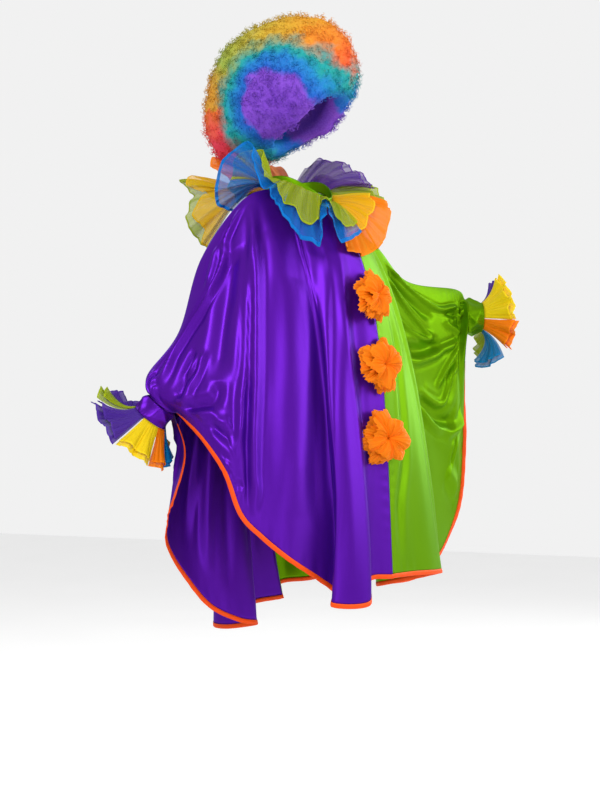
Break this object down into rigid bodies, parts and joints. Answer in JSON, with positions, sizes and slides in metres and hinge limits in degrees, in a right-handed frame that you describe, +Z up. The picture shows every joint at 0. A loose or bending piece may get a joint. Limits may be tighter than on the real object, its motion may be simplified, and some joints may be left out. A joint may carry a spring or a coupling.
{
  "type": "clown costume",
  "caption": "Loose satin poncho robe, half purple and half lime, with a tulle neck ruff, wrist frills, front pompoms and a rainbow curly wig, hung as worn.",
  "frame": {"origin": "centre of the neck opening at the height of its side points, where the costume hangs on the wearer's shoulders", "axes": "+Z up, the front of the robe faces -Y, the wearer's left is +X"},
  "size_m": [1.1681, 0.6623, 1.4858],
  "materials": {
    "purple_satin": "glossy polyester satin",
    "lime_satin": "glossy polyester satin",
    "orange_tape": "folded satin bias tape",
    "blue_tulle": "crisp tulle",
    "lime_tulle": "crisp tulle",
    "yellow_tulle": "crisp tulle",
    "orange_tulle": "crisp tulle",
    "purple_tulle": "crisp tulle",
    "curly_hair": "curly synthetic hair in rainbow zones"
  },
  "bodies": {
    "root": {"binding_back": "orange_tape", "binding_front": "orange_tape", "collar_band": "lime_satin", "cuff_band_left": "lime_satin", "cuff_band_right": "purple_satin", "frill_left_1_purple": "purple_tulle", "frill_left_2_yellow": "yellow_tulle", "frill_left_3_orange": "orange_tulle", "frill_left_4_blue": "blue_tulle", "frill_left_5_lime": "lime_tulle", "frill_left_6_orange": "orange_tulle", "frill_right_1_lime": "lime_tulle", "frill_right_2_purple": "purple_tulle", "frill_right_3_yellow": "yellow_tulle", "frill_right_4_orange": "orange_tulle", "frill_right_5_blue": "blue_tulle", "frill_right_6_yellow": "yellow_tulle", "frill_right_7_purple": "purple_tulle", "pompom_bottom": "orange_tulle", "pompom_middle": "orange_tulle", "pompom_top": "orange_tulle", "robe_back_left": "lime_satin", "robe_back_right": "purple_satin", "robe_front_left": "lime_satin", "robe_front_right": "purple_satin", "ruff_blue_side": "blue_tulle", "ruff_lime_back": "lime_tulle", "ruff_lime_far": "lime_tulle", "ruff_lime_side": "lime_tulle", "ruff_orange_back": "orange_tulle", "ruff_orange_front": "orange_tulle", "ruff_purple_far": "purple_tulle", "ruff_yellow_front": "yellow_tulle", "wig": "curly_hair"}
  },
  "joints": []
}
